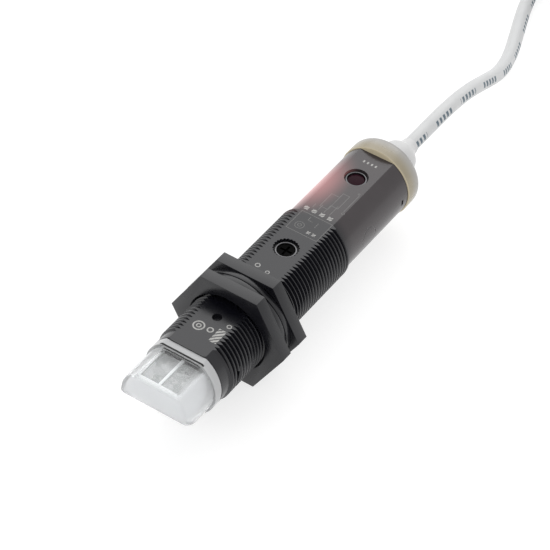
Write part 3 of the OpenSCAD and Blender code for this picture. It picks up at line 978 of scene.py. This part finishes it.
def upright(bm, x):
    """Turns a solid made about the X axis upright, at a place along the tube."""
    turn = Matrix.Rotation(-math.pi / 2, 4, "Y")
    bmesh.ops.transform(bm, matrix=Matrix.Translation((x, 0, 0)) @ turn, verts=bm.verts)
    return bm


def add_controls():
    """The two metal bezels and the red button; the slotted dial stays the CAD's own."""
    inner = CONTROL_R + 0.05
    soft, edge = 0.16, 0.05
    for name, x, low in (("trimmer", TRIMMER_X, 4.7), ("button", BUTTON_X, 3.9)):
        profile = [
            (low, inner), (low, BEZEL_R), (BEZEL_TOP - soft, BEZEL_R),
            (BEZEL_TOP - edge, BEZEL_R - edge), (BEZEL_TOP, BEZEL_R - soft), (BEZEL_TOP, inner + soft),
            (BEZEL_TOP - edge, inner + edge), (BEZEL_TOP - soft, inner),
        ]
        ring = new_object(name + "_bezel_look", upright(lathe(profile, 64), x))
        add_piece(ring, "sensor", "bright_metal", SLOT_MATERIALS["bright_metal"], name + "_bezel")
    top = CONTROL_TOP
    stem_r, stem_low, cap_low = 0.9, 4.2, 4.6
    profile = [
        (stem_low, 0), (stem_low, stem_r), (cap_low, stem_r), (cap_low, CONTROL_R),
        (top - 0.3, CONTROL_R), (top - 0.12, CONTROL_R - 0.1), (top - 0.05, CONTROL_R - 0.5),
        (top - 0.01, 0.8), (top, 0),
    ]
    button = new_object("teach_button_look", upright(lathe(profile, 64, closed=False), BUTTON_X))
    red = plastic("button_plastic", (0.024, 0.005, 0.011, 1), rough=0.25, vary=0.3, Specular_IOR_Level=0.05)
    add_piece(button, "teach_button", "button_plastic", red, "teach_button")


add_controls()


# ---- rear end ----

CAP_EDGE = 0.15
CAP_SPIGOT_L = 2.9
RELIEF_NECK = 3.0
RELIEF_FLANGE = 4.2
RELIEF_FLANGE_L = 0.7


def cap_material():
    """Milky plastic, warmer in tint and darker where it meets the barrel, with painted shade at that joint,
    and darker and greyer over its rounded rear edge as painted shade; a faint painted glow lies on its front
    face.
    """
    n = Nodes("cap_plastic")
    x = n.axes()[0]
    blotch = n.noise(4.0)
    # near the barrel the cap is its own warmer tint, darkened as painted shade at the joint; over the
    # rounded rear edge it is darker grey, painted shade
    warm = n.mix(blotch, (0.40, 0.35, 0.25, 1), (0.31, 0.27, 0.19, 1))
    pale = n.mix(blotch, (0.46, 0.445, 0.42, 1), (0.38, 0.37, 0.35, 1))
    painted_rear_shade = n.mix(blotch, (0.28, 0.27, 0.265, 1), (0.24, 0.23, 0.225, 1))
    front = n.mix(n.span(x, BARREL_REAR + 0.8, BARREL_REAR + 3.8, smooth=True), warm, pale)
    n.put(Base_Color=n.mix(n.span(x, CAP_REAR - 1.9, CAP_REAR - 0.4, smooth=True), front, painted_rear_shade))
    n.put(Roughness=n.span(blotch, 0.3, 0.7, 0.25, 0.33), Transmission_Weight=0.15, IOR=1.48)
    # a faint warm glow on the front face just behind the barrel: painted light where that face lies in shade
    face = n.span(x, BARREL_REAR + 0.25, BARREL_REAR + 0.1)
    n.put(Emission_Color=(1.0, 0.87, 0.6, 1), Emission_Strength=n.math("MULTIPLY", face, 0.18))
    n.put(Normal=n.bump(n.noise(2.0, 2.0), 0.003))
    return n.material


def add_cap():
    """Rounded translucent cap, with its spigot in the barrel and a hole for the strain relief."""
    pieces = 12
    middle_x, middle_r = CAP_REAR - CAP_ROUND, CAP_R - CAP_ROUND
    profile = [(BARREL_REAR, 0), (BARREL_REAR, CAP_R - CAP_EDGE), (BARREL_REAR + CAP_EDGE, CAP_R)]
    for i in range(pieces + 1):
        a = math.pi / 2 * (1 - i / pieces)
        profile.append((middle_x + CAP_ROUND * math.cos(a), middle_r + CAP_ROUND * math.sin(a)))
    profile.append((CAP_REAR, 0))
    inner_x = CAP_REAR - CAP_WALL
    cap = new_object("end_cap_look", lathe(profile, 128, closed=False))
    combine(cap, spigot(0, BARREL_REAR - CAP_SPIGOT_L, BARREL_REAR + 0.2), "UNION")
    combine(cap, spigot(SPIGOT_WALL, BARREL_REAR - CAP_SPIGOT_L - 1, inner_x), "DIFFERENCE")
    combine(cap, prism(circle(RELIEF_NECK, 64), inner_x - 1, CAP_REAR + 1, "X"), "DIFFERENCE")
    shade(cap, 35)
    add_piece(cap, "sensor", "cap_plastic", cap_material(), "end_cap")


def add_relief():
    """White bell that tapers on to the cable, held in the cap by a neck and an inner flange."""
    inner_x = CAP_REAR - CAP_WALL
    flange_x = inner_x - RELIEF_FLANGE_L
    bore = CABLE_R + 0.02
    knots = [
        (CAP_REAR + 0.2, 4.3), (60, 4.25), (61.8, 4.1), (62.8, 3.7), (63.6, 3.0), (64.3, 2.5), (65, 2.2),
        (65.7, 2.04), (RELIEF_END - 0.1, 1.95),
    ]
    profile = [
        (flange_x, bore), (flange_x, RELIEF_FLANGE), (inner_x, RELIEF_FLANGE), (inner_x, RELIEF_NECK),
        (CAP_REAR, RELIEF_NECK), (CAP_REAR, 4.1),
    ]
    profile += [(p.x, p.y) for p in spline([(x, r, 0) for x, r in knots], 0.35)]
    profile += [(RELIEF_END, 1.9), (RELIEF_END, bore)]
    relief = new_object("strain_relief_look", lathe(profile, 96), 40)
    material = plastic("relief_plastic", grey(0.6), rough=0.42, vary=0.06, grain=0.4)
    add_piece(relief, "sensor", "relief_plastic", material, "strain_relief")


add_cap()
add_relief()


# ---- floor and light ----

FLOOR_SIZE = 3000.0
FLOOR_GLOW = 0.72
SKY_STRENGTH = 0.85
SOFTBOX_WATTS = 5.1


def add_floor():
    """Plain white paper that glows a little, so that it stays white under soft light."""
    bm = bmesh.new()
    bmesh.ops.create_grid(bm, x_segments=1, y_segments=1, size=FLOOR_SIZE)
    floor = new_object("floor", bm)
    floor.location.z = (FLOOR_Z - 0.02) * MM
    n = Nodes("floor_paper")
    n.put(Base_Color=n.mix(n.noise(60), grey(0.33), grey(0.37)), Roughness=0.9)
    n.put(Emission_Color=grey(1), Emission_Strength=FLOOR_GLOW)
    floor.data.materials.append(n.material)


def add_light():
    """White surroundings, and one large softbox behind the object as the camera sees it."""
    world = bpy.data.worlds.new("studio")
    world.use_nodes = True
    background = world.node_tree.nodes["Background"]
    background.inputs["Color"].default_value = grey(1)
    background.inputs["Strength"].default_value = SKY_STRENGTH
    bpy.context.scene.world = world
    light = bpy.data.lights.new("softbox", "AREA")
    light.shape = "RECTANGLE"
    light.size = 1.3
    light.size_y = 0.9
    light.energy = SOFTBOX_WATTS
    softbox = bpy.data.objects.new("softbox", light)
    bpy.context.scene.collection.objects.link(softbox)
    softbox.location = (0.55, 0.35, 0.65)
    softbox.rotation_mode = "QUATERNION"
    softbox.rotation_quaternion = (-softbox.location).to_track_quat("-Z", "Y")


add_floor()
add_light()
bpy.context.scene.view_settings.view_transform = "Standard"
